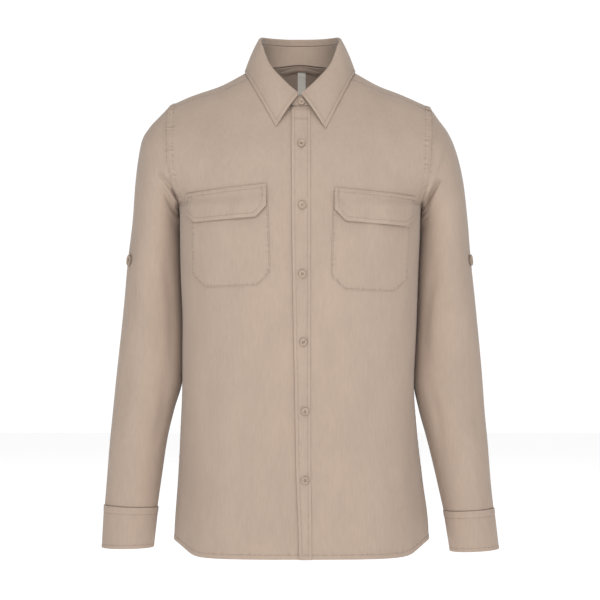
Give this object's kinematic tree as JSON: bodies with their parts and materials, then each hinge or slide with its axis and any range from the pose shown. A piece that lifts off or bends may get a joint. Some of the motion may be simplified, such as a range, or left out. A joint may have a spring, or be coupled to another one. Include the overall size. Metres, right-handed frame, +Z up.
{
  "type": "safari shirt",
  "caption": "Long-sleeved button-front safari shirt, worn shape, hollow, with flapped chest pockets, shirt collar, yoke and curved hem.",
  "frame": {"origin": "middle of the neck base at the height of the shoulders that carry the shirt", "axes": "+Z up along the body, -Y out of the shirt's front, +X towards the wearer's left arm"},
  "size_m": [0.6126, 0.2724, 0.8076],
  "materials": {
    "cloth": "matte washed cotton",
    "label": "matte woven tape",
    "button": "satin horn look"
  },
  "bodies": {
    "root": {"front_right": "cloth", "front_left": "cloth", "placket": "cloth", "yoke": "cloth", "back": "cloth", "sleeve_right": "cloth", "sleeve_left": "cloth", "cuff_right": "cloth", "cuff_left": "cloth", "sleeve_placket_right": "cloth", "sleeve_placket_left": "cloth", "collar_stand": "cloth", "collar_fall": "cloth", "pocket_right": "cloth", "pocket_left": "cloth", "flap_right": "cloth", "flap_left": "cloth", "hanger_loop": "cloth", "size_label": "label", "care_label": "label", "button_stand": "button", "button_front_1": "button", "button_front_2": "button", "button_front_3": "button", "button_front_4": "button", "button_front_5": "button", "button_front_6": "button", "button_sleeve_right": "button", "button_sleeve_left": "button", "button_cuff_right": "button", "button_cuff_left": "button"}
  },
  "joints": []
}
